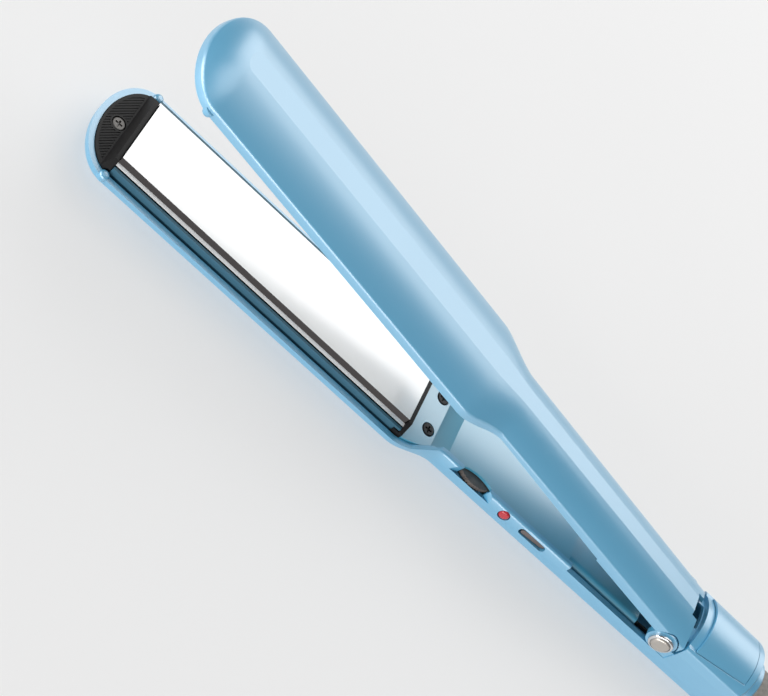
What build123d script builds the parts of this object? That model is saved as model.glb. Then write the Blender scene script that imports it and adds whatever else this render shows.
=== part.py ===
"""Hair straightening iron with two hinged arms, long polished plates and a swivel cord.

+X runs from the tips to the cord, -Y is the control side and +Z is up. The origin lies on the flat
back of the lower arm, straight under the hinge. Lengths are in millimetres, angles in degrees.
"Depth" is a distance from the plane where the two plates meet, measured into an arm.
"""
import os
from math import atan2, cos, degrees, radians, sin, tan

from build123d import *

# ---- driving dimensions -------------------------------------------------------------------------
PARTING = 14.0  # height of the plane where the plates meet when the arms are closed
HINGE_Z = 17.0  # height of the hinge axis, at x = 0
OPEN_ANGLE = 9.7  # the spring holds the upper arm this far open
WALL = 2.0  # casing thickness
GAP = 0.2  # clearance between fixed neighbours

NOSE_X = -235.0  # centre of the rounded nose
NOSE_LENGTH = 13.4  # how far the nose reaches past its centre
HEAD_END = -116.0  # where the wide head starts to narrow
NECK_END = -98.0  # where the handle starts
REAR_END = 36.0  # end face of the rear housing
HEAD_HALF = 19.35  # half width of the head
HANDLE_HALF_FRONT = 13.8
HANDLE_HALF_REAR = 12.8
LIP_LEAN = 0.9  # the side wall leans in by this much at the parting plane
BULGE_DEPTH = 4.6  # depth where an arm is widest
CREASE_LEAN = 0.5
CREASE_DEPTH = 8.0  # depth of the crease between side wall and crowned back
CREASE_RADIUS = 1.6
FLAT_CUT = 0.25  # the crown is cut this much below its top, to leave a flat to rest on

HEAD_RIM = 5.1  # depth of the casing rim round the plate
PLATE_X0 = -235.0
PLATE_X1 = -115.0
PLATE_HALF = 12.7  # 25.4 mm working width
PLATE_GAP = 0.15  # each plate stops this far short of the parting plane
STEP_X = -40.4  # the side walls drop to a lower rim here
CAP_DEPTH = 4.6  # depth of the tip cap's flat

NECK_PAD_DEPTH = 4.2
NECK_PAD_X = (-113.3, -102.7)
NECK_SCREW_X = -105.9
NECK_SCREW_Y = 7.0
SCREW_HEAD_R = 2.3
TIP_SCREW_X = -241.0

DIAL_X = -84.8
DIAL_Y = -4.1
DIAL_R = 9.2
DIAL_DEPTHS = (2.1, 4.0)
WINDOW_X = -84.7  # middle of the dial window
WINDOW_WIDTH = 12.0  # clear width inside its bevels
WINDOW_DEPTH = 3.5  # depth of its sill at the outer face
LED_X = -69.4
LED_DEPTH = 2.9
SWITCH_X = -56.5
SWITCH_DEPTH = 2.75
SWITCH_SLOT = (11.4, 2.7)
ROCKER_TILT = 5.0  # the rocker rests tilted by this much, and tips as far the other way

EAR_R = 5.4
EAR_Y = (10.5, 12.8)  # inner and outer face of each hinge ear
PIN_R = 1.5
LUG_R = 4.4
BODY_FRONT = 6.75  # front edge of the rear housing's sides
COVER_SEAM = (23.0, 24.9)  # height of the seam under the rear cover, at its front and rear
COVER_REAR_X = 31.4
COVER_FRONT = 10.0

CORD_Z = 15.0  # height of the cord axis at the rear
CORD_D = 7.0
BOOT_END = 86.0
HANK_X = (162.0, 226.0)  # centres of the hank's two end bends
HANK_RADII = (21.0, 28.0)  # bend radii of the cord in its inner and outer column
HANK_LAYERS = 4

HINGE = Axis((0, 0, HINGE_Z), (0, 1, 0))
MID_PLANE = Plane.XY.offset(PARTING)
pieces = {}


# ---- shared forms -------------------------------------------------------------------------------
def height(depth):
    """Height of a lower-arm point that lies the given depth below the parting plane."""
    return PARTING - depth


def handle_half(x):
    """Half width of the handle, which tapers evenly towards the cord."""
    along = (x - NECK_END) / (40.0 - NECK_END)
    return HANDLE_HALF_FRONT + along * (HANDLE_HALF_REAR - HANDLE_HALF_FRONT)


def neck_half(x):
    """Half width of the neck, an even S-curve from the head to the handle."""
    along = (x - HEAD_END) / (NECK_END - HEAD_END)
    return HEAD_HALF + (3 - 2 * along) * along**2 * (HANDLE_HALF_FRONT - HEAD_HALF)


def arm_section(x, half, inset):
    """Cross-section of the lower arm at x: leaning sides, soft creases and a crowned back."""
    side = half - inset
    lip = (side - LIP_LEAN, PARTING)
    bulge = (side, height(BULGE_DEPTH))
    crease = (side - CREASE_LEAN, height(CREASE_DEPTH))
    with BuildSketch(Plane.YZ.offset(x)) as section:
        with BuildLine():
            ThreePointArc((-lip[0], lip[1]), (-bulge[0], bulge[1]), (-crease[0], crease[1]))
            ThreePointArc((-crease[0], crease[1]), (0, inset - FLAT_CUT), crease)
            ThreePointArc(crease, bulge, lip)
            Line(lip, (-lip[0], lip[1]))
        make_face()
        fillet(section.vertices().group_by(Axis.Z)[0], CREASE_RADIUS)
    return section.sketch


def nose(inset):
    """Rounded nose: half a turn of the head's section, narrowed along X to an ellipse."""
    half_section = split(arm_section(0, HEAD_HALF, inset), bisect_by=Plane.XZ.offset(0), keep=Keep.BOTTOM)
    with BuildPart() as dome:
        add(half_section)
        revolve(axis=Axis.Z, revolution_arc=180)
    squeeze = (NOSE_LENGTH - inset) / (HEAD_HALF - inset)
    return scale(dome.part, by=(squeeze, 1, 1)).moved(Location((NOSE_X, 0, 0)))


def arm_form(inset=0.0, end=REAR_END):
    """Solid outer form of the lower arm, or the same form drawn in by an inset."""
    stations = [HEAD_END + 3.0 * step for step in range(7)]
    round_end = nose(inset)
    with BuildPart() as form:
        add(round_end)
        add(arm_section(NOSE_X, HEAD_HALF, inset))
        extrude(amount=HEAD_END - NOSE_X, dir=(1, 0, 0))
        loft([arm_section(x, neck_half(x), inset) for x in stations])
        loft([arm_section(x, handle_half(x), inset) for x in (NECK_END, end)])
        split(bisect_by=Plane.XY.offset(inset), keep=Keep.TOP)
    return form.part


def rear_form(inset=0.0, end=REAR_END):
    """Full closed section of the rear housing, from just ahead of the hinge to the end face."""
    start = 1.5
    sections = []
    for x in (start, end):
        side = handle_half(x) - inset
        crease = (side - CREASE_LEAN, 2 * PARTING - height(CREASE_DEPTH))
        low = (side, height(BULGE_DEPTH))
        with BuildSketch(Plane.YZ.offset(x)) as section:
            with BuildLine():
                Polyline((-crease[0], crease[1]), (-low[0], crease[1] - 4), (-low[0], low[1]), low)
                Polyline(low, (low[0], crease[1] - 4), crease)
                ThreePointArc(crease, (0, 2 * PARTING - inset), (-crease[0], crease[1]))
            make_face()
            fillet(section.vertices().group_by(Axis.Z)[-1], CREASE_RADIUS)
        sections.append(section.sketch)
    with BuildPart() as form:
        loft(sections)
    return form.part


def tail_waste(inset=0.0):
    """What is cut away to round the rear end down to the swivel collar."""
    round_start = 25.0
    outer = 18.0 - inset
    collar = 10.4 - inset
    with BuildPart() as waste:
        with BuildSketch(Plane.XZ) as profile:
            with BuildLine():
                Line((round_start, CORD_Z + 40), (round_start, CORD_Z + outer))
                ThreePointArc(
                    (round_start, CORD_Z + outer),
                    (REAR_END - 4.0 - inset, CORD_Z + outer - 3.0),
                    (REAR_END - inset, CORD_Z + collar),
                )
                Polyline(
                    (REAR_END - inset, CORD_Z + collar),
                    (REAR_END - inset, CORD_Z),
                    (REAR_END + 20, CORD_Z),
                    (REAR_END + 20, CORD_Z + 40),
                    (round_start, CORD_Z + 40),
                )
            make_face()
        revolve(axis=Axis((0, 0, CORD_Z), (1, 0, 0)))
    return waste.part


def side_block(points, y0=-40.0, y1=40.0):
    """Block whose outline in the XZ plane is the given polygon of (x, z) points."""
    with BuildPart() as block:
        with BuildSketch(Plane.XZ.offset(-y1)):
            Polygon(*points, align=None)
        extrude(amount=y1 - y0)
    return block.part


def upper_twin(lower):
    """Mirror a lower-arm piece to the upper arm, in the closed position."""
    return mirror(lower, about=MID_PLANE)


def swing_open(closed):
    """Turn a piece of the upper arm from the closed position to the open rest position."""
    return closed.rotate(HINGE, OPEN_ANGLE)


def round_bar(start, axis_plane, radius, length):
    """Plain cylinder that starts at a point and runs along a plane's normal."""
    with BuildPart() as bar:
        with BuildSketch(Plane(start, x_dir=axis_plane.x_dir, z_dir=axis_plane.z_dir)):
            Circle(radius)
        extrude(amount=length)
    return bar.part


outer_form = arm_form()
inner_form = arm_form(WALL, REAR_END - WALL)
tail_outside = tail_waste()
tail_inside = tail_waste(WALL)


# ---- lower casing -------------------------------------------------------------------------------
def lower_rim_region():
    """Side outline of the lower casing: low rim round the plate, high wall along the controls."""
    return side_block([
        (-260, -1), (-260, height(HEAD_RIM)), (-108, height(HEAD_RIM)), (-100.5, height(0.2)),
        (STEP_X, height(0.2)), (STEP_X, height(2.4)), (REAR_END + 5, height(2.4)), (REAR_END + 5, -1),
    ])


def tip_nub(side):
    """Small round tab on the rim beside the nose, where a fingertip can hold the arm."""
    nub_r = 1.7
    top = height(3.9)
    with BuildPart() as nub:
        with BuildSketch(Plane.XY.offset(height(6.6))):
            with Locations((NOSE_X - 0.6, side * 18.3)):
                Circle(nub_r)
        extrude(amount=top - height(6.6))
        fillet(nub.edges().group_by(Axis.Z)[-1], 1.3)
    return nub.part


LEDGE = 1.3  # the wall is this thin beside the inner cover
LEDGE_DEPTH = 1.9
with BuildPart() as ledge_cut:
    add(arm_form(LEDGE, 0))
    add(side_block([(-104, height(LEDGE_DEPTH)), (-104, 20), (STEP_X, 20), (STEP_X, height(LEDGE_DEPTH))]),
        mode=Mode.INTERSECT)
ledge_waste = ledge_cut.part

with BuildPart() as lower_shell:
    add(outer_form)
    add(tail_outside, mode=Mode.SUBTRACT)
    with BuildPart(mode=Mode.PRIVATE) as lower_hollow:
        add(inner_form)
        add(tail_inside, mode=Mode.SUBTRACT)
    add(lower_hollow.part, mode=Mode.SUBTRACT)
    add(lower_rim_region(), mode=Mode.INTERSECT)
    for side in (-1, 1):
        add(tip_nub(side))
    # posts for the tip screw and the neck screws
    with Locations((TIP_SCREW_X, 0, height(7.6))):
        Cylinder(2.2, height(7.6) - 2.6, align=(Align.CENTER, Align.CENTER, Align.MAX))
    with Locations((NECK_SCREW_X, NECK_SCREW_Y, height(6.4)), (NECK_SCREW_X, -NECK_SCREW_Y, height(6.4))):
        Cylinder(2.4, height(6.4) - 2.6, align=(Align.CENTER, Align.CENTER, Align.MAX))
    with Locations((TIP_SCREW_X, 0, height(7.6))):
        Hole(0.85, 3.2)
    with Locations((NECK_SCREW_X, NECK_SCREW_Y, height(6.4)), (NECK_SCREW_X, -NECK_SCREW_Y, height(6.4))):
        Hole(0.85, 4.5)
    # ledge that carries the edge of the inner cover
    add(ledge_waste, mode=Mode.SUBTRACT)
    # dial window, open at the top, with bevelled ends and sill
    with BuildSketch(Plane.XZ.offset(14.5)):
        with Locations((WINDOW_X, height(WINDOW_DEPTH - 0.5))):
            Rectangle(WINDOW_WIDTH + 9.5, 9, align=(Align.CENTER, Align.MIN))
    with BuildSketch(Plane.XZ.offset(12.2)):
        with Locations((WINDOW_X, height(WINDOW_DEPTH + 0.8))):
            Rectangle(WINDOW_WIDTH, 10, align=(Align.CENTER, Align.MIN))
    loft(mode=Mode.SUBTRACT)
    with BuildSketch(Plane.XZ.offset(8)):
        with Locations((WINDOW_X, height(WINDOW_DEPTH + 0.8))):
            Rectangle(WINDOW_WIDTH, 10, align=(Align.CENTER, Align.MIN))
    extrude(amount=5, mode=Mode.SUBTRACT)
    with BuildSketch(Plane.XY.offset(height(DIAL_DEPTHS[1] + 0.35))):
        with Locations((DIAL_X, DIAL_Y)):
            Circle(DIAL_R + 0.3)
    extrude(amount=8, mode=Mode.SUBTRACT)
    # lamp hole and switch slot
    with BuildSketch(Plane.XZ.offset(8)):
        with Locations((LED_X, height(LED_DEPTH))):
            Circle(2.15)
        with Locations((SWITCH_X, height(SWITCH_DEPTH))):
            SlotOverall(*SWITCH_SLOT)
    extrude(amount=8, mode=Mode.SUBTRACT)
    # clearance for the swivel boss and the hinge ears
    add(round_bar((29, 0, CORD_Z), Plane.YZ, 9.4, 12), mode=Mode.SUBTRACT)
    add(round_bar((0, 20, HINGE_Z), Plane.XZ, EAR_R + GAP, 40), mode=Mode.SUBTRACT)
pieces["lower_shell"] = lower_shell.part

# ---- lower inner cover: screw pad in the neck, step up, long cover under the hand ---------------
COVER_SKIN = 1.0
COVER_REAR = -8.5
LOW_TOP = 1.6  # depth of the rounded rear part of the cover
cover_top = [
    (NECK_PAD_X[0], height(NECK_PAD_DEPTH)),
    (NECK_PAD_X[1], height(NECK_PAD_DEPTH)),
    (-97.6, height(0.8)),
    (-92.0, height(0.6)),
    (STEP_X - 1.8, height(0.4)),
    (STEP_X - 1.8, height(LOW_TOP)),
    (COVER_REAR, height(LOW_TOP)),
]
cover_floor = [
    (COVER_REAR, height(5.2)),
    (STEP_X, height(5.2)),
    (STEP_X, height(0.4 + 2 * COVER_SKIN)),
    (STEP_X - 3.5, height(0.4 + COVER_SKIN)),
    (-96.8, height(0.6 + COVER_SKIN)),
    (-101.6, height(6.2)),
    (NECK_PAD_X[0], height(6.2)),
]


def rounded_ridge(half, top_depth, radius):
    """Long bar with rounded upper edges that fills the rear part of the handle."""
    with BuildPart() as bar:
        with BuildSketch(Plane.YZ.offset(STEP_X - 1.9)) as profile:
            with Locations((0, height(top_depth))):
                Rectangle(2 * half, 12, align=(Align.CENTER, Align.MAX))
            fillet(profile.vertices().group_by(Axis.Y)[-1], radius)
        extrude(amount=COVER_REAR - STEP_X + 4)
    return bar.part


cover_form = arm_form(WALL + GAP, 0)
pad_holes = [(NECK_SCREW_X, side * NECK_SCREW_Y, height(NECK_PAD_DEPTH)) for side in (-1, 1)]
ridge_outside = rounded_ridge(10.4, LOW_TOP, 2.6)
ridge_inside = rounded_ridge(10.4 - COVER_SKIN, LOW_TOP + COVER_SKIN, 1.3)
edge_form = arm_form(LEDGE + GAP, 0)
with BuildPart() as lower_inner_cover:
    add(cover_form)
    add(side_block(cover_top + cover_floor), mode=Mode.INTERSECT)
    with BuildPart(mode=Mode.PRIVATE) as ridge_waste:
        with Locations((STEP_X - 1.8, 0, height(8))):
            Box(60, 60, 20, align=(Align.MIN, Align.CENTER, Align.MIN))
        add(ridge_outside, mode=Mode.SUBTRACT)
    add(ridge_waste.part, mode=Mode.SUBTRACT)
    with BuildPart(mode=Mode.PRIVATE) as ridge_hollow:
        add(ridge_inside)
        with Locations((STEP_X, 0, height(14))):
            Box(60, 60, 30, align=(Align.MIN, Align.CENTER, Align.MIN), mode=Mode.INTERSECT)
    add(ridge_hollow.part, mode=Mode.SUBTRACT)
    # thin edge that rests on the ledge of the casing
    with BuildPart(mode=Mode.PRIVATE) as thin_edge:
        add(edge_form)
        add(side_block([
            (-97.0, height(0.8)), (-92.0, height(0.6)), (STEP_X - 1.8, height(0.4)),
            (STEP_X - 1.8, height(LEDGE_DEPTH - 0.2)), (-97.0, height(LEDGE_DEPTH - 0.2)),
        ]), mode=Mode.INTERSECT)
    add(thin_edge.part)
    # scallop in that edge, over the dial
    with BuildSketch(Plane.XY.offset(height(4))):
        with Locations((-84.1, -25.6)):
            Circle(15.9)
    extrude(amount=8, mode=Mode.SUBTRACT)
    with Locations(*pad_holes):
        CounterBoreHole(1.25, SCREW_HEAD_R + 0.15, 1.05, depth=6)
    # notches under the pad for the heater wires
    with Locations((-113.5, 4, height(6.3)), (-113.5, -4, height(6.3))):
        Box(5.4, 2.6, 1.9, align=(Align.MIN, Align.CENTER, Align.MIN), mode=Mode.SUBTRACT)
pieces["lower_inner_cover"] = lower_inner_cover.part


# ---- black tip cap, far-end block, screws -------------------------------------------------------
def make_tip_cap():
    """Half-moon cap that closes the tip end of the plate, with slanted ribs round its screw."""
    straight = PLATE_X0 - 0.2
    inside = nose(WALL + 0.15)
    with BuildPart() as cap:
        with BuildSketch(Plane.XY.offset(height(7.4))):
            with Locations((straight, 0)):
                Ellipse(11.6, 17.3)
                Rectangle(40, 60, align=(Align.MIN, Align.CENTER), mode=Mode.SUBTRACT)
        extrude(amount=8)
        add(inside, mode=Mode.INTERSECT)
        # the top steps down from the plate to the flat that holds the screw
        add(side_block([
            (-260, 0), (-260, height(CAP_DEPTH)), (-238.4, height(CAP_DEPTH)), (-236.6, height(1.0)),
            (-230, height(1.0)), (-230, 0),
        ]), mode=Mode.INTERSECT)
        # its shoulders slope from the plate's corners down to the casing rim
        with BuildSketch(Plane.YZ.offset(-260)):
            Polygon((-17.2, 0), (-17.2, height(4.9)), (-13.6, height(0.8)), (13.6, height(0.8)),
                    (17.2, height(4.9)), (17.2, 0), align=None)
        extrude(amount=40, mode=Mode.INTERSECT)
        # room for the nubs inside the casing's corners
        with BuildSketch(Plane.XY.offset(height(7.4))):
            with Locations((NOSE_X - 0.6, -18.3), (NOSE_X - 0.6, 18.3)):
                Circle(1.95)
        extrude(amount=8, mode=Mode.SUBTRACT)
        with BuildSketch(Plane.XY.offset(height(CAP_DEPTH) - 0.25)) as ribs:
            with Locations(Location((-238.8, 0), 49)):
                with GridLocations(60, 0.85, 1, 36):
                    Rectangle(60, 0.4)
            with Locations((straight, 0)):
                Ellipse(10.2, 15.6, mode=Mode.INTERSECT)
            with Locations((-238.9, 0)):
                Rectangle(40, 60, align=(Align.MIN, Align.CENTER), mode=Mode.SUBTRACT)
            with Locations((TIP_SCREW_X, 0)):
                Circle(3.0, mode=Mode.SUBTRACT)
        extrude(amount=0.6, mode=Mode.SUBTRACT)
        with Locations((TIP_SCREW_X, 0, height(CAP_DEPTH))):
            CounterBoreHole(1.25, SCREW_HEAD_R + 0.15, 1.3, depth=4)
    return cap.part


def make_screw(x, y, head_top, length):
    """Small cross-head screw with its head's top at the given height."""
    with BuildPart() as screw:
        with BuildSketch(Plane.XY.offset(head_top - 1.1)):
            with Locations((x, y)):
                Circle(SCREW_HEAD_R)
        extrude(amount=1.1)
        fillet(screw.edges().group_by(Axis.Z)[-1], 0.5)
        with BuildSketch(Plane.XY.offset(head_top - 1.1)):
            with Locations((x, y)):
                Circle(0.85)
        extrude(amount=-length)
        with BuildSketch(Plane.XY.offset(head_top - 0.6)):
            with Locations((x, y)):
                Rectangle(2.6, 0.6)
                Rectangle(0.6, 2.6)
        extrude(amount=1, mode=Mode.SUBTRACT)
    return screw.part


def make_end_block():
    """Black block across the cord end of the plate: a thin bar with two thicker corners."""
    with BuildPart() as block:
        with BuildSketch(Plane.YZ.offset(PLATE_X1 + 0.1)):
            Polygon((-16.8, height(6.8)), (-16.8, height(3.4)), (-13.4, height(0.25)), (13.4, height(0.25)),
                    (16.8, height(3.4)), (16.8, height(6.8)), align=None)
            with Locations((4, height(5.2)), (-4, height(5.2))):
                Circle(0.9, mode=Mode.SUBTRACT)
        extrude(amount=1.4)
        for side in (-1, 1):
            with Locations((PLATE_X1 - 0.4, side * 16.6, height(5.0))):
                Box(3.6, 0.4, 3.2)
    return block.part


tip_cap = make_tip_cap()
end_block = make_end_block()
tip_screw = make_screw(TIP_SCREW_X, 0, height(CAP_DEPTH + 0.1), 3.6)
pieces["lower_tip_cap"] = tip_cap
pieces["lower_tip_screw"] = tip_screw
pieces["lower_end_block"] = end_block
with BuildPart() as lower_neck_screws:
    for side in (-1, 1):
        add(make_screw(NECK_SCREW_X, side * NECK_SCREW_Y, height(NECK_PAD_DEPTH - 0.1), 5.0))
pieces["lower_neck_screws"] = lower_neck_screws.part

# ---- plate, carrier, heater and spring of one arm -----------------------------------------------
PLATE_STEP = 2.0  # depth of the ledge beside the plate's working face
with BuildPart() as lower_plate:
    with BuildSketch(Plane.YZ.offset(PLATE_X0)) as plate_profile:
        with BuildLine():
            half_outline = Polyline(
                (0, height(PLATE_GAP)), (PLATE_HALF, height(PLATE_GAP)), (13.6, height(PLATE_STEP)),
                (15.0, height(PLATE_STEP + 0.1)), (15.0, height(3.4)), (11.5, height(3.4)),
                (11.5, height(4.2)), (0, height(4.2)),
            )
            mirror(half_outline, about=Plane.YZ)
        make_face()
        corners = plate_profile.vertices().filter_by_position(Axis.Z, height(1), height(0))
        fillet(corners, 0.5)
    extrude(amount=PLATE_X1 - PLATE_X0)
pieces["lower_plate"] = lower_plate.part

CARRIER_FLOOR = 8.3
with BuildPart() as lower_plate_carrier:
    with BuildSketch(Plane.YZ.offset(PLATE_X0 + 0.1)):
        Polygon((-16.2, height(2.5)), (-16.2, height(7.3)), (-13.4, height(CARRIER_FLOOR)),
                (13.4, height(CARRIER_FLOOR)), (16.2, height(7.3)), (16.2, height(2.5)), align=None)
        Polygon((-15.2, height(2.4)), (-15.2, height(6.9)), (-13.0, height(CARRIER_FLOOR - 0.8)),
                (13.0, height(CARRIER_FLOOR - 0.8)), (15.2, height(6.9)), (15.2, height(2.4)), align=None,
                mode=Mode.SUBTRACT)
    extrude(amount=PLATE_X1 - PLATE_X0 - 0.2)
pieces["lower_plate_carrier"] = lower_plate_carrier.part

HEATER_LENGTH = 92.0
heater_x = (PLATE_X0 + PLATE_X1) / 2
with BuildPart() as lower_heater:
    with Locations((heater_x, 0, height(4.22))):
        Box(HEATER_LENGTH, 17, 1.8, align=(Align.CENTER, Align.CENTER, Align.MAX))
    fillet(lower_heater.edges().filter_by(Axis.X), 0.6)
pieces["lower_heater"] = lower_heater.part

with BuildPart() as lower_heater_spring:
    with BuildSketch(Plane.XZ.offset(-5)):
        with BuildLine():
            bow = ThreePointArc((heater_x - 34, height(7.2)), (heater_x, height(6.35)), (heater_x + 34, height(7.2)))
            offset(bow, amount=0.25)
        make_face()
    extrude(amount=10)
pieces["lower_heater_spring"] = lower_heater_spring.part

with BuildPart() as lower_heater_leads:
    for side in (-1, 1):
        with BuildLine():
            lead = FilletPolyline(
                (heater_x + HEATER_LENGTH / 2 + 0.1, side * 4, height(5.2)), (-112.2, side * 4, height(5.25)),
                (-107, side * 3.4, height(9.6)), (-96.3, side * 3, height(9.8)), radius=2.0,
            )
        with BuildSketch(Plane(lead @ 0, z_dir=lead % 0)):
            Circle(0.7)
        sweep(path=lead)
pieces["lower_heater_leads"] = lower_heater_leads.part

# ---- controls in the lower handle ---------------------------------------------------------------
BOARD_DEPTH = 9.2
with BuildPart() as control_board:
    with Locations((-65.2, 0, height(BOARD_DEPTH))):
        Box(62, 13, 1.2, align=(Align.CENTER, Align.CENTER, Align.MAX))
    with Locations((-44, 1.5, height(BOARD_DEPTH)), (-71, 3.2, height(BOARD_DEPTH))):
        Box(9, 5, 3.2, align=(Align.CENTER, Align.CENTER, Align.MIN))
    with Locations((-36.5, -2.6, height(BOARD_DEPTH)), (-36.5, 2.6, height(BOARD_DEPTH))):
        Cylinder(1.5, 4.2, align=(Align.CENTER, Align.CENTER, Align.MIN))
pieces["control_board"] = control_board.part

POT_TOP = 7.0
with BuildPart() as dial_potentiometer:
    with Locations((DIAL_X, DIAL_Y + 2.2, height(BOARD_DEPTH))):
        Box(10, 8.6, BOARD_DEPTH - POT_TOP, align=(Align.CENTER, Align.CENTER, Align.MIN))
    with BuildSketch(Plane.XY.offset(height(POT_TOP))):
        with Locations((DIAL_X, DIAL_Y)):
            Circle(1.9)
    extrude(amount=POT_TOP - DIAL_DEPTHS[0] - 0.4)
pieces["dial_potentiometer"] = dial_potentiometer.part

with BuildPart() as temperature_dial:
    with BuildSketch(Plane.XY.offset(height(DIAL_DEPTHS[1]))):
        with Locations((DIAL_X, DIAL_Y)):
            Circle(DIAL_R)
            Circle(1.95, mode=Mode.SUBTRACT)
            with PolarLocations(DIAL_R + 0.18, 48):
                Circle(0.42, mode=Mode.SUBTRACT)
    extrude(amount=DIAL_DEPTHS[1] - DIAL_DEPTHS[0])
    with BuildSketch(Plane.XY.offset(height(6.4))):
        with Locations((DIAL_X, DIAL_Y)):
            Circle(4.0)
            Circle(1.95, mode=Mode.SUBTRACT)
    extrude(amount=6.4 - DIAL_DEPTHS[1])
pieces["temperature_dial"] = temperature_dial.part

with BuildPart() as indicator_lens:
    with BuildSketch(Plane.XZ.offset(12.0)):
        with Locations((LED_X, height(LED_DEPTH))):
            Circle(1.95)
    extrude(amount=1.7)
    fillet(indicator_lens.edges().group_by(Axis.Y)[0], 0.8)
pieces["indicator_lens"] = indicator_lens.part

with BuildPart() as indicator_lamp:
    with BuildSketch(Plane.XZ.offset(5.6)):
        with Locations((LED_X, height(LED_DEPTH))):
            Circle(1.15)
    extrude(amount=5.0)
    for side in (-1, 1):
        with Locations((LED_X + side * 0.8, -5.9, height(LED_DEPTH + 0.8))):
            Box(0.5, 0.5, BOARD_DEPTH - LED_DEPTH - 0.8, align=(Align.CENTER, Align.CENTER, Align.MAX))
pieces["indicator_lamp"] = indicator_lamp.part

ROCKER_AXIS_Y = -9.4
with BuildPart() as switch_body:
    with Locations((SWITCH_X, -4.9, height(8.3))):
        Box(13.4, 4.7, 6.4, align=(Align.CENTER, Align.MAX, Align.MIN))
    with Locations((SWITCH_X, -4.9, height(BOARD_DEPTH))):
        Box(13.4, 1.5, 1.2, align=(Align.CENTER, Align.MAX, Align.MIN))
    with Locations((SWITCH_X, -6.4, height(SWITCH_DEPTH) - 1.4)):
        Box(11.8, 5, 2.8, align=(Align.CENTER, Align.MAX, Align.MIN), mode=Mode.SUBTRACT)
    with BuildSketch(Plane.XY.offset(height(5.2))):
        with Locations((SWITCH_X, ROCKER_AXIS_Y)):
            Circle(0.6)
    extrude(amount=3.3)
pieces["switch_body"] = switch_body.part

with BuildPart() as rocker_straight:
    with BuildSketch(Plane.XZ.offset(9.7)):
        with Locations((SWITCH_X, height(SWITCH_DEPTH))):
            SlotOverall(SWITCH_SLOT[0] - 1.2, SWITCH_SLOT[1] - 0.6)
    extrude(amount=handle_half(SWITCH_X) - 0.75 - 9.7)
    with BuildSketch(Plane.XY.offset(height(SWITCH_DEPTH) - 1.05)):
        with Locations((SWITCH_X, ROCKER_AXIS_Y)):
            Circle(1.5)
    extrude(amount=2.1)
    with BuildSketch(Plane.XY.offset(height(SWITCH_DEPTH) - 3)):
        with Locations((SWITCH_X, ROCKER_AXIS_Y)):
            Circle(0.65)
    extrude(amount=6, mode=Mode.SUBTRACT)
rocker_axis = Axis((SWITCH_X, ROCKER_AXIS_Y, 0), (0, 0, 1))
pieces["power_rocker"] = rocker_straight.part.rotate(rocker_axis, ROCKER_TILT)

with BuildPart() as thermal_fuse:
    with BuildSketch(Plane.YZ.offset(-29)):
        with Locations((0, height(9.2))):
            Circle(1.5)
    extrude(amount=11)
    fillet(thermal_fuse.edges(), 0.4)
pieces["thermal_fuse"] = thermal_fuse.part

with BuildPart() as supply_leads:
    for side in (-1, 1):
        with BuildLine():
            lead = FilletPolyline(
                (-33.9, side * 3.4, height(9.8)), (-12, side * 3.6, height(9.7)), (16, side * 4.4, height(7.4)),
                (27.2, side * 4.4, height(0.8)), radius=6,
            )
        with BuildSketch(Plane(lead @ 0, z_dir=lead % 0)):
            Circle(0.8)
        sweep(path=lead)
pieces["supply_leads"] = supply_leads.part


# ---- rear housing with the hinge ears and the swivel seat ---------------------------------------
def collar_ring(x0, x1, inset, thickness, low):
    """Arched ring under the rear cover's front edge."""
    with BuildPart() as ring:
        add(rear_form(inset))
        add(rear_form(inset + thickness), mode=Mode.SUBTRACT)
        add(side_block([(x0, low), (x0, 40), (x1, 40), (x1, low)]), mode=Mode.INTERSECT)
    return ring.part


BODY_FLOOR = height(2.25)
JOURNAL_R = 6.0
front_flange = collar_ring(BODY_FRONT, BODY_FRONT + 1.4, 1.1, 3.7, COVER_SEAM[0] - 3)
cover_ledge = collar_ring(BODY_FRONT, COVER_FRONT + 3, 1.1, 1.4, COVER_SEAM[0] - 3)
front_ring = collar_ring(2.6, BODY_FRONT + 1, 3.4, 1.4, COVER_SEAM[0] - 1.2)
with BuildPart() as rear_body:
    add(rear_form())
    add(tail_outside, mode=Mode.SUBTRACT)
    with BuildPart(mode=Mode.PRIVATE) as rear_hollow:
        add(rear_form(WALL))
        add(tail_inside, mode=Mode.SUBTRACT)
    add(rear_hollow.part, mode=Mode.SUBTRACT)
    add(side_block([
        (BODY_FRONT, BODY_FLOOR), (BODY_FRONT, COVER_SEAM[0]), (COVER_FRONT, COVER_SEAM[0]),
        (COVER_REAR_X + GAP, COVER_SEAM[1]), (COVER_REAR_X + GAP, 40), (REAR_END + 5, 40),
        (REAR_END + 5, BODY_FLOOR),
    ]), mode=Mode.INTERSECT)
    add(front_flange)
    add(cover_ledge)
    add(front_ring)
    # slot in the front ring, behind the notch in the upper casing
    with Locations((2, 0, 24.5)):
        Box(4.4, 9.6, 8, align=(Align.MIN, Align.CENTER, Align.CENTER), mode=Mode.SUBTRACT)
    # hinge ears
    for side in (-1, 1):
        start = EAR_Y[1] if side > 0 else -EAR_Y[0]
        add(round_bar((0, start, HINGE_Z), Plane.XZ, EAR_R, EAR_Y[1] - EAR_Y[0]))
        with Locations((0, side * (EAR_Y[0] + EAR_Y[1]) / 2, BODY_FLOOR)):
            Box(9, EAR_Y[1] - EAR_Y[0], 4.8, align=(Align.MIN, Align.CENTER, Align.MIN))
    add(round_bar((0, 20, HINGE_Z), Plane.XZ, PIN_R, 40), mode=Mode.SUBTRACT)
    # seat of the swivel
    add(round_bar((30.5, 0, CORD_Z), Plane.YZ, 9.2, REAR_END - 30.5))
    add(round_bar((26, 0, CORD_Z), Plane.YZ, 6.06, 20), mode=Mode.SUBTRACT)
pieces["rear_body"] = rear_body.part

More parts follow.
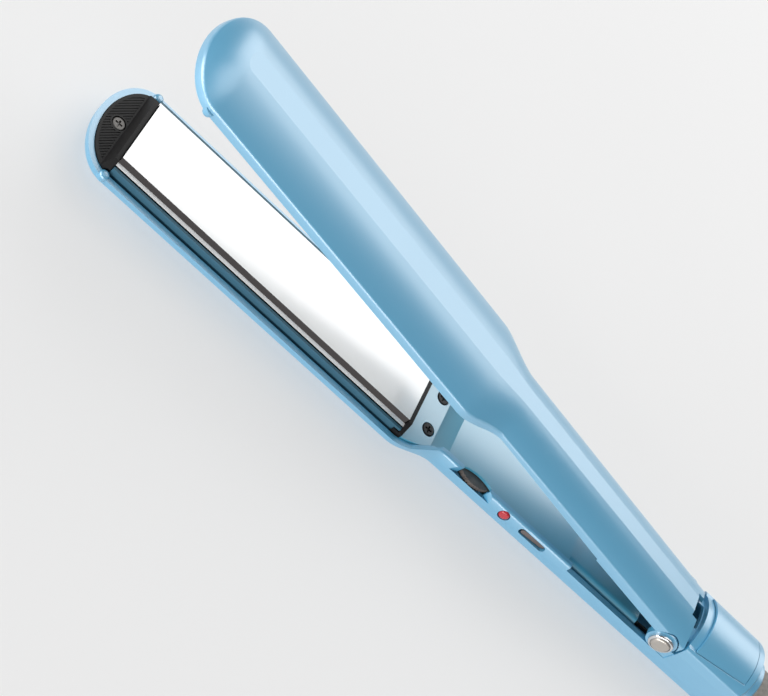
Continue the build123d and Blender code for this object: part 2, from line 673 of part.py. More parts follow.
with BuildPart() as rear_cover:
    add(rear_form())
    add(tail_outside, mode=Mode.SUBTRACT)
    with BuildPart(mode=Mode.PRIVATE) as cover_hollow:
        add(rear_form(WALL))
        add(tail_inside, mode=Mode.SUBTRACT)
    add(cover_hollow.part, mode=Mode.SUBTRACT)
    add(side_block([
        (COVER_FRONT + 3.2, COVER_SEAM[0] + 0.55), (COVER_FRONT + 3.2, 40), (COVER_REAR_X, 40),
        (COVER_REAR_X, COVER_SEAM[1] + GAP),
    ]), mode=Mode.INTERSECT)
    with BuildPart(mode=Mode.PRIVATE) as front_lip:
        add(rear_form())
        add(rear_form(0.9), mode=Mode.SUBTRACT)
        add(side_block([
            (COVER_FRONT, COVER_SEAM[0] + GAP), (COVER_FRONT, 40), (COVER_FRONT + 3.5, 40),
            (COVER_FRONT + 3.5, COVER_SEAM[0] + 0.6),
        ]), mode=Mode.INTERSECT)
    add(front_lip.part)
pieces["rear_cover"] = rear_cover.part

# ---- hinge: pin, caps and opening spring --------------------------------------------------------
pieces["hinge_pin"] = round_bar((0, EAR_Y[1] - 0.1, HINGE_Z), Plane.XZ, PIN_R, 2 * EAR_Y[1] - 0.2)

cap_face = EAR_Y[1] + 0.02
with BuildPart() as hinge_caps:
    for side in (-1, 1):
        with BuildPart(mode=Mode.PRIVATE) as one_cap:
            with BuildSketch(Plane((0, side * cap_face, HINGE_Z), x_dir=(1, 0, 0), z_dir=(0, side, 0))):
                Circle(4.4)
            extrude(amount=1.5)
            outer_ring = one_cap.edges().filter_by(GeomType.CIRCLE).sort_by(Axis.Y)[-1 if side > 0 else 0]
            fillet(outer_ring, 0.7)
            with BuildSketch(Plane((0, side * (cap_face + 0.7), HINGE_Z), x_dir=(1, 0, 0), z_dir=(0, side, 0))):
                Circle(3.55)
            extrude(amount=2, mode=Mode.SUBTRACT)
        add(one_cap.part)
pieces["hinge_caps"] = hinge_caps.part

with BuildPart() as hinge_cap_buttons:
    for side in (-1, 1):
        with BuildPart(mode=Mode.PRIVATE) as one_button:
            with BuildSketch(Plane((0, side * (cap_face + 0.72), HINGE_Z), x_dir=(1, 0, 0), z_dir=(0, side, 0))):
                Circle(3.45)
            extrude(amount=1.3)
            rim = one_button.edges().filter_by(GeomType.CIRCLE).sort_by(Axis.Y)[-1 if side > 0 else 0]
            fillet(rim, 1.0)
        add(one_button.part)
pieces["hinge_cap_buttons"] = hinge_cap_buttons.part

SPRING_TURNS = 4.5
SPRING_PITCH = 1.7
SPRING_WIRE_R = 0.6
spring_length = SPRING_TURNS * SPRING_PITCH
with BuildPart() as spring_coil:
    with BuildLine():
        coil_line = Helix(SPRING_PITCH, spring_length, 3.0, (0, -spring_length / 2, HINGE_Z), (0, 1, 0))
    with BuildSketch(Plane(coil_line @ 0, z_dir=coil_line % 0)):
        Circle(SPRING_WIRE_R)
    sweep(path=coil_line)
    for point, way in ((coil_line @ 0, -(coil_line % 0)), (coil_line @ 1, coil_line % 1)):
        flat_way = Vector(way.X, 0, way.Z).normalized()
        with BuildSketch(Plane(point - flat_way * 0.2, z_dir=flat_way)):
            Circle(SPRING_WIRE_R)
        extrude(amount=13)
start_way = -(coil_line % 0)
turn = degrees(atan2(start_way.Z, start_way.X))
pieces["hinge_spring"] = spring_coil.part.rotate(HINGE, turn - 180 - 4)

# ---- upper casing, built closed and then swung open ---------------------------------------------
upper_back = [(0.6, PARTING + 14.3), (5.4, PARTING + 8.5), (5.4, PARTING + 4.5)]
upper_outer = upper_twin(outer_form)
upper_inner = upper_twin(inner_form)
upper_nubs = [upper_twin(tip_nub(side)) for side in (-1, 1)]
upper_cover_form = upper_twin(cover_form)
with BuildPart() as upper_shell_closed:
    add(upper_outer)
    add(upper_inner, mode=Mode.SUBTRACT)
    add(side_block([
        (-260, 40), (-260, PARTING + HEAD_RIM), (-106, PARTING + HEAD_RIM), (-97, PARTING + 6.6),
        (-41.5, PARTING + 5.2), (-41.0, PARTING + 4.5),
    ] + upper_back[::-1] + [(-0.4, PARTING + 15.5), (-2, 40)]), mode=Mode.INTERSECT)
    for nub in upper_nubs:
        add(nub)
    # round clearance for the hinge ears, and the notch over the rear ring
    add(round_bar((0, 20, HINGE_Z), Plane.XZ, EAR_R + 0.4, 40), mode=Mode.SUBTRACT)
    with Locations((-1.6, 0, 28)):
        Box(6, 9.0, 8, align=(Align.MIN, Align.CENTER, Align.CENTER), mode=Mode.SUBTRACT)
    # screw posts
    tip_post = 2 * PARTING - height(7.6)
    with Locations((TIP_SCREW_X, 0, tip_post)):
        Cylinder(2.2, height(7.6) - 2.6, align=(Align.CENTER, Align.CENTER, Align.MIN))
        Cylinder(0.85, 3.2, align=(Align.CENTER, Align.CENTER, Align.MIN), mode=Mode.SUBTRACT)
    neck_post = 2 * PARTING - height(6.4)
    with Locations((NECK_SCREW_X, NECK_SCREW_Y, neck_post), (NECK_SCREW_X, -NECK_SCREW_Y, neck_post)):
        Cylinder(2.4, height(6.4) - 2.6, align=(Align.CENTER, Align.CENTER, Align.MIN))
        Cylinder(0.85, 4.5, align=(Align.CENTER, Align.CENTER, Align.MIN), mode=Mode.SUBTRACT)
    with Locations((-20, 0, PARTING + 10.2)):
        Cylinder(2.6, 2.4, align=(Align.CENTER, Align.CENTER, Align.MIN))
        Cylinder(0.85, 2.2, align=(Align.CENTER, Align.CENTER, Align.MIN), mode=Mode.SUBTRACT)
pieces["upper_shell"] = swing_open(upper_shell_closed.part)

UPPER_COVER_X1 = -27.0
with BuildPart() as upper_inner_cover_closed:
    add(upper_cover_form)
    add(side_block([
        (NECK_PAD_X[0], PARTING + NECK_PAD_DEPTH), (NECK_PAD_X[1], PARTING + NECK_PAD_DEPTH),
        (-97.5, PARTING + 7.0), (UPPER_COVER_X1, PARTING + 5.6), (UPPER_COVER_X1, PARTING + 7.2),
        (-98.5, PARTING + 8.6), (-103.6, PARTING + 6.2), (NECK_PAD_X[0], PARTING + 6.2),
    ]), mode=Mode.INTERSECT)
    with Locations((-113.5, 4, PARTING + 4.4), (-113.5, -4, PARTING + 4.4)):
        Box(5.4, 2.6, 1.9, align=(Align.MIN, Align.CENTER, Align.MIN), mode=Mode.SUBTRACT)
    for side in (-1, 1):
        with Locations((NECK_SCREW_X, side * NECK_SCREW_Y, PARTING + NECK_PAD_DEPTH)):
            Cylinder(1.25, 8, mode=Mode.SUBTRACT)
            Cylinder(SCREW_HEAD_R + 0.15, 2.1, mode=Mode.SUBTRACT)
pieces["upper_inner_cover"] = swing_open(upper_inner_cover_closed.part)

for name in ("tip_cap", "tip_screw", "end_block", "neck_screws", "plate", "plate_carrier", "heater",
             "heater_spring"):
    pieces["upper_" + name] = swing_open(upper_twin(pieces["lower_" + name]))

# wires from the upper heater along the roof of the upper handle
with BuildPart() as upper_leads_closed:
    for side in (-1, 1):
        with BuildLine():
            lead = FilletPolyline(
                (heater_x + HEATER_LENGTH / 2 + 0.1, side * 4, PARTING + 5.2),
                (-112.2, side * 4, PARTING + 5.25), (-106, side * 3, PARTING + 10.0),
                (-30, side * 3, PARTING + 9.4), radius=2.0,
            )
        with BuildSketch(Plane(lead @ 0, z_dir=lead % 0)):
            Circle(0.7)
        sweep(path=lead)
pieces["upper_heater_leads"] = swing_open(upper_leads_closed.part)

# hinge bracket: two barrels on the pin, side arms and a screw plate under the roof
BARREL_Y = (5.6, 10.1)
with BuildPart() as hinge_bracket_closed:
    for side in (-1, 1):
        start = BARREL_Y[1] if side > 0 else -BARREL_Y[0]
        add(round_bar((0, start, HINGE_Z), Plane.XZ, LUG_R, BARREL_Y[1] - BARREL_Y[0]))
        low = 6.0 if side > 0 else -8.4
        add(side_block([
            (-3.5, HINGE_Z - 2.4), (0, HINGE_Z + LUG_R - 0.1), (-8, PARTING + 9.2), (-24, PARTING + 9.2),
            (-24, PARTING + 7.6), (-12, PARTING + 5.6),
        ], low, low + 2.4))
    with Locations((-24, 0, PARTING + 10.1)):
        Box(14, 12.6, 1.4, align=(Align.MIN, Align.CENTER, Align.MAX))
    add(round_bar((0, 20, HINGE_Z), Plane.XZ, PIN_R + 0.05, 40), mode=Mode.SUBTRACT)
    with Locations((-20, 0, PARTING + 10)):
        Cylinder(1.1, 8, mode=Mode.SUBTRACT)
pieces["hinge_bracket"] = swing_open(hinge_bracket_closed.part)

with BuildPart() as bracket_screw_closed:
    with Locations((-20, 0, PARTING + 8.68)):
        Cylinder(2.0, 1.2, align=(Align.CENTER, Align.CENTER, Align.MAX))
        Cylinder(0.85, 3.4, align=(Align.CENTER, Align.CENTER, Align.MIN))
    with Locations((-20, 0, PARTING + 7.5)):
        Box(2.4, 0.5, 1.0, mode=Mode.SUBTRACT)
        Box(0.5, 2.4, 1.0, mode=Mode.SUBTRACT)
pieces["hinge_bracket_screw"] = swing_open(bracket_screw_closed.part)

# ---- swivel and strain relief -------------------------------------------------------------------
with BuildPart() as cord_swivel:
    with BuildSketch(Plane.XZ):
        with BuildLine():
            Polyline(
                (28.2, CORD_Z), (28.2, CORD_Z + 7.3), (30.3, CORD_Z + 7.3), (30.3, CORD_Z + JOURNAL_R),
                (REAR_END + 0.3, CORD_Z + JOURNAL_R), (REAR_END + 0.3, CORD_Z + 9.4),
                (REAR_END + 2.6, CORD_Z + 9.4), (REAR_END + 3.6, CORD_Z + 8.4), (REAR_END + 3.6, CORD_Z),
                (28.2, CORD_Z),
            )
        make_face()
    revolve(axis=Axis((0, 0, CORD_Z), (1, 0, 0)))
pieces["cord_swivel"] = cord_swivel.part

BOOT_START = REAR_END + 3.6
with BuildPart() as strain_relief:
    with BuildSketch(Plane.XZ):
        with BuildLine():
            Line((BOOT_START, CORD_Z), (BOOT_START, CORD_Z + 8.2))
            Spline((BOOT_START, CORD_Z + 8.2), (54, CORD_Z + 7.2), (69, CORD_Z + 5.2), (BOOT_END, CORD_Z + 4.4))
            Polyline((BOOT_END, CORD_Z + 4.4), (BOOT_END, CORD_Z), (BOOT_START, CORD_Z))
        make_face()
    revolve(axis=Axis((0, 0, CORD_Z), (1, 0, 0)))
    for ring in range(6):
        with BuildSketch(Plane.YZ.offset(58 + 4.5 * ring)):
            with Locations((0, CORD_Z)):
                Circle(12)
                Circle(6.0 - 0.36 * ring, mode=Mode.SUBTRACT)
        extrude(amount=1.6, mode=Mode.SUBTRACT)
pieces["strain_relief"] = strain_relief.part


# ---- cord, hank and plug ------------------------------------------------------------------------
def bend_radii(points):
    """Radius of each corner: as large as its two runs allow."""
    radii = []
    for before, here, after in zip(points, points[1:], points[2:]):
        run_in = Vector(*here) - Vector(*before)
        run_out = Vector(*after) - Vector(*here)
        turn = run_in.get_angle(run_out)
        radii.append(0.45 * min(run_in.length, run_out.length) / tan(radians(turn) / 2))
    return radii


def make_tube(points, diameter):
    """Round tube along straight runs joined by tangent arcs."""
    radii = bend_radii(points)
    print("bend radii", [round(radius, 1) for radius in radii])
    with BuildPart() as tube:
        with BuildLine():
            path = FilletPolyline(*points, radius=radii)
        with BuildSketch(Plane(path @ 0, z_dir=path % 0)):
            Circle(diameter / 2)
        sweep(path=path)
    expected = 3.14159 * diameter**2 / 4 * path.length if hasattr(path, "length") else 0
    print("tube volume", round(tube.part.volume), "expected", round(expected))
    return tube.part


floor_z = CORD_D / 2 + 0.1
cord_route = [
    (BOOT_END, 0, CORD_Z),
    (97, 0, CORD_Z),
    (110, -3.5, 11.2),
    (123, -10, 6.0),
    (136, -18.5, floor_z),
    (148.5, -25, floor_z),
    (162, -28, floor_z),
]
pieces["power_cord"] = make_tube(cord_route, CORD_D)

# eight long turns folded in line with the iron, two side by side in each layer
hank_middle = sum(HANK_X) / 2
hank_top = 0.1 + HANK_LAYERS * CORD_D
with BuildPart() as cord_hank:
    inner = HANK_RADII[0] - CORD_D / 2
    outer = HANK_RADII[-1] + CORD_D / 2
    run = HANK_X[1] - HANK_X[0]
    with BuildSketch(Plane.XY.offset(0.1)):
        with Locations((hank_middle, 0)):
            SlotOverall(run + 2 * outer, 2 * outer)
            SlotOverall(run + 2 * inner, 2 * inner, mode=Mode.SUBTRACT)
    extrude(amount=HANK_LAYERS * CORD_D)
    flat_faces = cord_hank.faces().sort_by(Axis.Z)
    fillet(flat_faces[0].edges() + flat_faces[-1].edges(), 2.8)
pieces["cord_hank"] = cord_hank.part

with BuildPart() as cord_tie:
    with BuildSketch(Plane.YZ.offset(hank_middle)):
        with Locations((sum(HANK_RADII) / 2, hank_top / 2 + 0.1)):
            RectangleRounded(16.4, 28.3, 3.4)
            RectangleRounded(14.2, 26.1, 2.5, mode=Mode.SUBTRACT)
    extrude(amount=4, both=True)
pieces["cord_tie"] = cord_tie.part

# the last of the cord climbs on to the hank, where the plug lies along one side of it
plug_z = hank_top + 7.7
cord_tail_route = [
    (156.7, 27.1, 27.5),
    (144.3, 21.1, 29.2),
    (137.0, 9.4, 31.4),
    (137.0, -4.4, 33.2),
    (144.3, -16.1, 34.9),
    (156.7, -22.1, 35.7),
    (171, -22.4, plug_z),
]
pieces["cord_tail"] = make_tube(cord_tail_route, CORD_D)

plug_way = Vector(*cord_tail_route[-1]) - Vector(*cord_tail_route[-2])
plug_way = Vector(plug_way.X, plug_way.Y, 0).normalized()
plug_across = Vector(-plug_way.Y, plug_way.X, 0)
plug_start = Vector(*cord_tail_route[-1])
plug_plane = Plane(plug_start, x_dir=plug_across, z_dir=plug_way)


def plug_section(along, width, thickness):
    """Rounded section of the plug at a distance from the end of the cord."""
    with BuildSketch(plug_plane.offset(along)) as section:
        RectangleRounded(width, thickness, min(width, thickness) * 0.3)
    return section.sketch


with BuildPart() as plug_relief:
    with BuildSketch(plug_plane):
        Circle(4.6)
    with BuildSketch(plug_plane.offset(14)):
        Circle(6.2)
    loft()
pieces["plug_relief"] = plug_relief.part
with BuildPart() as plug_body:
    loft([plug_section(14, 14, 12), plug_section(20, 21, 15), plug_section(44, 24, 15)], ruled=True)
    fillet(plug_body.edges().group_by(Axis((0, 0, 0), tuple(plug_way)))[-1], 1.2)
pieces["plug_body"] = plug_body.part
with BuildPart() as plug_blades:
    with BuildSketch(plug_plane.offset(44)):
        with Locations((-6.35, 0), (6.35, 0)):
            Rectangle(1.5, 6.35)
    extrude(amount=17)
pieces["plug_blades"] = plug_blades.part

# ---- write every piece --------------------------------------------------------------------------
os.makedirs("parts", exist_ok=True)
for name, piece in pieces.items():
    piece.label = name
    export_step(piece, f"parts/{name}.step")
print(len(pieces), "pieces")
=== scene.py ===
"""Looks of the hair straightening iron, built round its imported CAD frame. Lengths are in metres."""

from math import cos, pi, radians, sin

import bpy
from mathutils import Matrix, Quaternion, Vector


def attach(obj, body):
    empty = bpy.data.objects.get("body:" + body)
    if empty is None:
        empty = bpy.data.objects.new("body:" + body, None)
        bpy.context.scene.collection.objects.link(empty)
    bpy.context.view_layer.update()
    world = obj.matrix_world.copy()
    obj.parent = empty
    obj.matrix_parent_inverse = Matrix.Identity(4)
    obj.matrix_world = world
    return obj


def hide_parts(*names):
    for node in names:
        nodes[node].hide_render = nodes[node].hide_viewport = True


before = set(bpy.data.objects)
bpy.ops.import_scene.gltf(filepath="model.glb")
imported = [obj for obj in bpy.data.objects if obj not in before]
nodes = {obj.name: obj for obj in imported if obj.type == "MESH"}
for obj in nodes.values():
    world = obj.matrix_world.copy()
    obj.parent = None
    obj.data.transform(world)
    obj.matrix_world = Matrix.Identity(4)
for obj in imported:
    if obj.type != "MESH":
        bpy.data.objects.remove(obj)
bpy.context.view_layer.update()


# ---- camera -------------------------------------------------------------------------------------
CAMERA_AT = (-0.31763, -0.38671, 0.44919)
CAMERA_TURN = (0.879681, 0.276262, -0.260574, 0.286255)
LENS_MM = 92.07
SENSOR_MM = 36
NEAREST_SEEN = 0.01
camera_data = bpy.data.cameras.new("camera")
camera_data.sensor_width = SENSOR_MM
camera_data.lens = LENS_MM
camera_data.clip_start = NEAREST_SEEN
camera = bpy.data.objects.new("camera", camera_data)
camera.location = CAMERA_AT
camera.rotation_mode = "QUATERNION"
camera.rotation_quaternion = Quaternion(CAMERA_TURN)
bpy.context.scene.collection.objects.link(camera)
bpy.context.scene.camera = camera


# ---- materials ----------------------------------------------------------------------------------
CLOUD_DETAIL = 3
GRAIN_DETAIL = 2
GRAIN_STRENGTH = 0.6
SHADE_DROP = 0.85  # a finish given as one shade is mixed with this much of it


def material(name, colour, other=None, rough=0.4, rough_spread=0.06, metal=0.0, grain=900.0,
             grain_depth=0.00002, patch=40.0, stretch=(1, 1, 1), **sockets):
    """Procedural finish: two shades in soft patches, uneven gloss and a fine surface grain."""
    mat = bpy.data.materials.new(name)
    mat.use_nodes = True
    tree = mat.node_tree
    shader = tree.nodes["Principled BSDF"]
    where = tree.nodes.new("ShaderNodeTexCoord")
    scale = tree.nodes.new("ShaderNodeMapping")
    scale.inputs["Scale"].default_value = stretch
    tree.links.new(where.outputs["Object"], scale.inputs["Vector"])
    clouds = tree.nodes.new("ShaderNodeTexNoise")
    clouds.inputs["Scale"].default_value = patch
    clouds.inputs["Detail"].default_value = CLOUD_DETAIL
    fine = tree.nodes.new("ShaderNodeTexNoise")
    fine.inputs["Scale"].default_value = grain
    fine.inputs["Detail"].default_value = GRAIN_DETAIL
    for noise in (clouds, fine):
        tree.links.new(scale.outputs["Vector"], noise.inputs["Vector"])
    mix = tree.nodes.new("ShaderNodeMix")
    mix.name = "shade mix"
    mix.data_type = "RGBA"
    mix.inputs["A"].default_value = (*colour, 1)
    mix.inputs["B"].default_value = (*(other or [c * SHADE_DROP for c in colour]), 1)
    tree.links.new(clouds.outputs["Fac"], mix.inputs["Factor"])
    tree.links.new(mix.outputs["Result"], shader.inputs["Base Color"])
    gloss = tree.nodes.new("ShaderNodeMapRange")
    gloss.inputs["To Min"].default_value = rough - rough_spread
    gloss.inputs["To Max"].default_value = rough + rough_spread
    tree.links.new(clouds.outputs["Fac"], gloss.inputs["Value"])
    tree.links.new(gloss.outputs["Result"], shader.inputs["Roughness"])
    bump = tree.nodes.new("ShaderNodeBump")
    bump.inputs["Distance"].default_value = grain_depth
    bump.inputs["Strength"].default_value = GRAIN_STRENGTH
    tree.links.new(fine.outputs["Fac"], bump.inputs["Height"])
    tree.links.new(bump.outputs["Normal"], shader.inputs["Normal"])
    shader.inputs["Metallic"].default_value = metal
    for socket, value in sockets.items():
        shader.inputs[socket.replace("_", " ")].default_value = value
    return mat


PAINT = dict(rough=0.45, metal=0.1, grain=2600, grain_depth=0.000006, patch=18,
             Coat_Weight=1.0, Coat_Roughness=0.36, Coat_IOR=2.7)
paint = material("blue_paint", (0.068, 0.38, 0.62), (0.062, 0.36, 0.595), **PAINT)
# inner covers: the shell's blue made darker and greener, painted shade from the upper arm over them
shaded_cover_paint = material("shaded_cover_paint", (0.03, 0.33, 0.5), (0.027, 0.315, 0.475), **PAINT)
plate_metal = material("polished_plate", (0.97, 0.97, 0.965), (0.93, 0.935, 0.935), rough=0.2,
                       rough_spread=0.05, metal=1.0, grain=700, grain_depth=0.000002, patch=60,
                       stretch=(0.06, 1, 1))


SLOPE_LIMITS = (0.8, 0.96)  # upward share of a face's direction: all slope below, all flat above


def paint_plate_reflections(mat, dark_reflection_colour, flat_metal):
    """Faces square to Z keep their shades but less metal (a painted white reflection); sloped ones
    turn dark metal (a painted dark reflection).
    """
    tree = mat.node_tree
    shader = tree.nodes["Principled BSDF"]
    where = tree.nodes.new("ShaderNodeTexCoord")
    split = tree.nodes.new("ShaderNodeSeparateXYZ")
    size = tree.nodes.new("ShaderNodeMath")
    size.operation = "ABSOLUTE"
    flat = tree.nodes.new("ShaderNodeMapRange")
    flat.inputs["From Min"].default_value, flat.inputs["From Max"].default_value = SLOPE_LIMITS
    tree.links.new(where.outputs["Normal"], split.inputs["Vector"])
    tree.links.new(split.outputs["Z"], size.inputs[0])
    tree.links.new(size.outputs["Value"], flat.inputs["Value"])
    metal = tree.nodes.new("ShaderNodeMapRange")
    metal.inputs["To Min"].default_value = 1.0
    metal.inputs["To Max"].default_value = flat_metal
    tree.links.new(flat.outputs["Result"], metal.inputs["Value"])
    tree.links.new(metal.outputs["Result"], shader.inputs["Metallic"])
    mix = tree.nodes.new("ShaderNodeMix")
    mix.data_type = "RGBA"
    mix.inputs["A"].default_value = (*dark_reflection_colour, 1)
    tree.links.new(flat.outputs["Result"], mix.inputs["Factor"])
    tree.links.new(tree.nodes["shade mix"].outputs["Result"], mix.inputs["B"])
    tree.links.new(mix.outputs["Result"], shader.inputs["Base Color"])


# painted reflections: an even white on the plate's flat faces, near black on its bevels
paint_plate_reflections(plate_metal, (0.014, 0.013, 0.013), 0.25)
# plate carriers: blue plastic darkened to teal, painted shade
shaded_teal_resin = material("shaded_teal_resin", (0.05, 0.15, 0.22), (0.035, 0.115, 0.17), rough=0.5)
black_resin = material("black_resin", (0.004, 0.004, 0.0045), (0.009, 0.0085, 0.0085), rough=0.5,
                       grain=1500, grain_depth=0.00003, Specular_IOR_Level=0.3)
grey_screw = material("grey_screw", (0.17, 0.165, 0.16), (0.11, 0.105, 0.10), rough=0.42, metal=0.9)
black_screw = material("black_screw", (0.006, 0.006, 0.007), (0.016, 0.016, 0.017), rough=0.36,
                       metal=0.5)
ceramic = material("ceramic", (0.78, 0.74, 0.66), rough=0.7)
spring_steel = material("spring_steel", (0.55, 0.55, 0.55), rough=0.25, metal=1.0)
glass_braid = material("glass_braid", (0.62, 0.57, 0.47), rough=0.8, grain=3000,
                       grain_depth=0.00008)
black_wire = material("black_wire", (0.02, 0.02, 0.02), rough=0.5)
solder_mask = material("solder_mask", (0.02, 0.13, 0.05), rough=0.35)
pot_body = material("pot_body", (0.03, 0.06, 0.16), rough=0.45)
dial_resin = material("dial_resin", (0.24, 0.205, 0.185), (0.05, 0.043, 0.04), rough=0.42,
                      metal=0.3, grain=1800, grain_depth=0.00005, patch=420)
rocker_resin = material("rocker_resin", (0.17, 0.14, 0.13), (0.11, 0.09, 0.085), rough=0.45)
black_gloss = material("black_gloss", (0.014, 0.014, 0.015), rough=0.3)
red_lens = material("red_lens", (0.72, 0.03, 0.05), (0.55, 0.015, 0.03), rough=0.22, patch=600,
                    Coat_Weight=0.6, Transmission_Weight=0.25)
clear_lamp = material("clear_lamp", (0.85, 0.8, 0.75), rough=0.1, Transmission_Weight=0.8)
aluminium = material("aluminium", (0.7, 0.7, 0.68), rough=0.3, metal=1.0)
bright_metal = material("bright_metal", (0.78, 0.79, 0.8), (0.7, 0.71, 0.72), rough=0.16, metal=1.0)
button_metal = material("button_metal", (0.6, 0.56, 0.51), (0.48, 0.44, 0.4), rough=0.34,
                        metal=0.85, grain=1500, grain_depth=0.00002, patch=300)
pressed_steel = material("pressed_steel", (0.45, 0.45, 0.46), rough=0.35, metal=1.0)
boot_rubber = material("boot_rubber", (0.36, 0.34, 0.31), (0.16, 0.15, 0.14), rough=0.62,
                       grain=1600, grain_depth=0.0002, patch=700)
cord_rubber = material("cord_rubber", (0.028, 0.028, 0.029), (0.018, 0.018, 0.019), rough=0.5,
                       grain=2400, grain_depth=0.00004, patch=90)
tie_resin = material("tie_resin", (0.02, 0.02, 0.02), rough=0.55)
plug_resin = material("plug_resin", (0.02, 0.02, 0.021), (0.03, 0.03, 0.031), rough=0.35,
                      grain=1200, grain_depth=0.00003)
brass = material("brass", (0.72, 0.56, 0.28), (0.64, 0.47, 0.22), rough=0.28, metal=1.0)

finishes = {
    paint: ["lower_shell", "upper_shell", "rear_body", "rear_cover", "cord_swivel"],
    shaded_cover_paint: ["lower_inner_cover", "upper_inner_cover"],
    plate_metal: ["lower_plate", "upper_plate"],
    shaded_teal_resin: ["lower_plate_carrier", "upper_plate_carrier"],
    black_resin: ["lower_tip_cap", "upper_tip_cap", "lower_end_block", "upper_end_block"],
    grey_screw: ["lower_tip_screw", "upper_tip_screw", "hinge_bracket_screw"],
    black_screw: ["lower_neck_screws", "upper_neck_screws"],
    ceramic: ["lower_heater", "upper_heater"],
    spring_steel: ["lower_heater_spring", "upper_heater_spring", "hinge_spring", "hinge_pin"],
    glass_braid: ["lower_heater_leads", "upper_heater_leads"],
    black_wire: ["supply_leads"],
    solder_mask: ["control_board"],
    pot_body: ["dial_potentiometer"],
    dial_resin: ["temperature_dial"],
    rocker_resin: ["power_rocker"],
    black_gloss: ["switch_body"],
    red_lens: ["indicator_lens"],
    clear_lamp: ["indicator_lamp"],
    aluminium: ["thermal_fuse"],
    bright_metal: ["hinge_caps"],
    button_metal: ["hinge_cap_buttons"],
    pressed_steel: ["hinge_bracket"],
    boot_rubber: ["strain_relief"],
    tie_resin: ["cord_tie"],
    plug_resin: ["plug_body", "plug_relief"],
    brass: ["plug_blades"],
}
for finish, names in finishes.items():
    for name in names:
        nodes[name].data.materials.clear()
        nodes[name].data.materials.append(finish)


# ---- power cord: out of the boot, down to the floor, round its hank and on to the plug ----------
CORD_D = 0.007
FLOOR_Z = 0.0036  # height of the centreline where the cord lies on the floor
# centreline in millimetres, from the boot to the hank and from the hank to the plug
LEAD_IN = [(86, 0, 15), (97, 0, 15), (110, -3.5, 11.2), (123, -10, 6.0), (136, -18.5, 3.6),
           (148.5, -25, 3.6)]
TAIL = [(144.3, 21.6, 28.6), (137.0, 9.4, 31.6), (137.0, -4.4, 33.4), (144.3, -16.1, 34.9),
        (156.7, -22.1, 35.7), (163, -22.4, 35.8), (171, -22.4, 35.8)]
HANK_X = (0.162, 0.226)  # centres of the hank's two end bends
OUTER_BEND = 0.028
# the places that the cord lies in, in order, as column (0 is the outer one) and layer of the hank
PLACES = [(0, 0), (1, 0), (1, 1), (0, 1), (0, 2), (1, 2), (1, 3), (0, 3)]
# the cord moves to its next place over this share of a turn, each time a little earlier
PASS_SHARE = 0.14
FIRST_PASS = 0.72
BEND_STEPS = 8
HANK_LAPS = 6.78  # turns that the cord makes in the hank before it leaves for the plug
HANK_ENTRY = (0.166, -0.0282, FLOOR_Z)


def hank_place(turn):
    """Column and layer of the hank that the cord lies in after a number of turns."""
    column, layer = PLACES[0]
    start = FIRST_PASS
    for next_column, next_layer in PLACES[1:]:
        share = min(max((turn - start) / PASS_SHARE, 0.0), 1.0)
        share = share * share * (3 - 2 * share)
        if share > 0:
            column += (next_column - column) * share
            layer += (next_layer - layer) * share
        start += 1 - PASS_SHARE
    return column, layer


def hank_turn():
    """One turn as (share of the turn, bend centre, angle) for each of its points."""
    run = HANK_X[1] - HANK_X[0]
    whole = 2 * run + 2 * pi * OUTER_BEND
    points = []
    for side, centre in ((0, HANK_X[1]), (1, HANK_X[0])):
        start = run / whole + side / 2
        for step in range(BEND_STEPS + 1):
            share = step / BEND_STEPS
            angle = 180 * (share + side) - 90
            points.append((start + share * pi * OUTER_BEND / whole, centre, angle))
        middle = (side + 1) / 2 + run / whole / 2
        points.append((middle, sum(HANK_X) / 2, 90 + 180 * side))
    return points


def hank_points(turns):
    """Centreline of the hank from the start of its first straight run to a number of turns."""
    line = []
    for lap in range(int(turns) + 1):
        for share, centre, angle in hank_turn():
            if lap + share <= turns:
                column, layer = hank_place(lap + share)
                radius = OUTER_BEND - column * CORD_D
                turned = radians(angle)
                line.append((centre + radius * cos(turned), radius * sin(turned),
                             FLOOR_Z + layer * CORD_D))
    return line


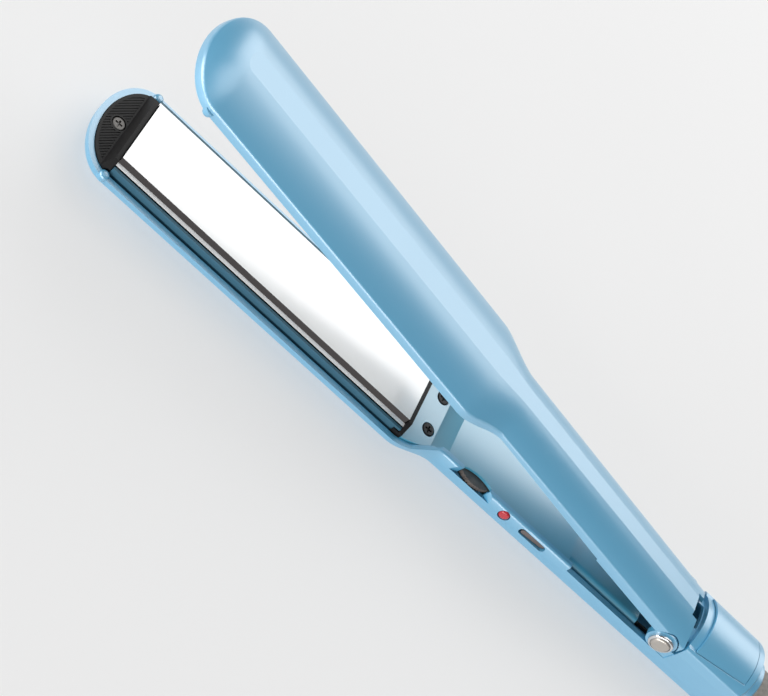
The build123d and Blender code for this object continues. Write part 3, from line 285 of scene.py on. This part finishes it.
hank = [HANK_ENTRY] + hank_points(HANK_LAPS)
route = [Vector(p) / 1000 for p in LEAD_IN] + hank + [Vector(p) / 1000 for p in TAIL]
cord_curve = bpy.data.curves.new("power_lead", "CURVE")
cord_curve.dimensions = "3D"
spline = cord_curve.splines.new("NURBS")
spline.points.add(len(route) - 1)
for point, place in zip(spline.points, route):
    point.co = (*place, 1)
spline.order_u = 3
spline.use_endpoint_u = True
spline.resolution_u = 8
cord_curve.bevel_depth = CORD_D / 2
cord_curve.bevel_resolution = 6
cord_curve.use_fill_caps = True
cord_curve.materials.append(cord_rubber)
power_lead = bpy.data.objects.new("power_lead", cord_curve)
bpy.context.scene.collection.objects.link(power_lead)
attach(power_lead, "lower_arm")
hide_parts("power_cord", "cord_hank", "cord_tail")


# ---- floor and studio light ---------------------------------------------------------------------
FLOOR_SIZE = 14
FLOOR_DROP = 0.0002  # the floor lies just under the part's own lowest faces
FLOOR_GLOW = 0.43  # light of the floor's own, which keeps the shadows pale
bpy.ops.mesh.primitive_plane_add(size=FLOOR_SIZE, location=(0, 0, -FLOOR_DROP))
floor = bpy.context.object
floor.name = "floor"
floor.data.materials.append(material("floor_paper", (0.46, 0.46, 0.46), (0.445, 0.445, 0.445),
                                     rough=0.9, grain=300, patch=1.5,
                                     Emission_Color=(1, 1, 1, 1), Emission_Strength=FLOOR_GLOW))


def soft_box(name, at, towards, size, watts):
    """Rectangular area light at a point, aimed at another."""
    data = bpy.data.lights.new(name, "AREA")
    data.shape = "RECTANGLE"
    data.size, data.size_y = size
    data.energy = watts
    light = bpy.data.objects.new(name, data)
    light.location = at
    light.rotation_mode = "QUATERNION"
    light.rotation_quaternion = (Vector(towards) - Vector(at)).to_track_quat("-Z", "Y")
    bpy.context.scene.collection.objects.link(light)


soft_box("back_box", (0.2, 0.85, 0.75), (-0.12, 0, 0), (1.4, 1.1), 10)
soft_box("front_box", (-0.3, -1.1, 0.14), (-0.12, 0, 0.03), (1.8, 0.26), 10)
soft_box("top_box", (-0.2, 0.1, 1.3), (-0.12, 0, 0), (0.9, 0.9), 3.2)
soft_box("nose_box", (-1.15, -0.2, 0.22), (-0.2, 0, 0.04), (0.9, 0.4), 6)
SKY = (0.22, 0.22, 0.22, 1)
world = bpy.data.worlds.new("studio")
bpy.context.scene.world = world
world.use_nodes = True
world.node_tree.nodes["Background"].inputs["Color"].default_value = SKY
bpy.context.scene.view_settings.view_transform = "Standard"
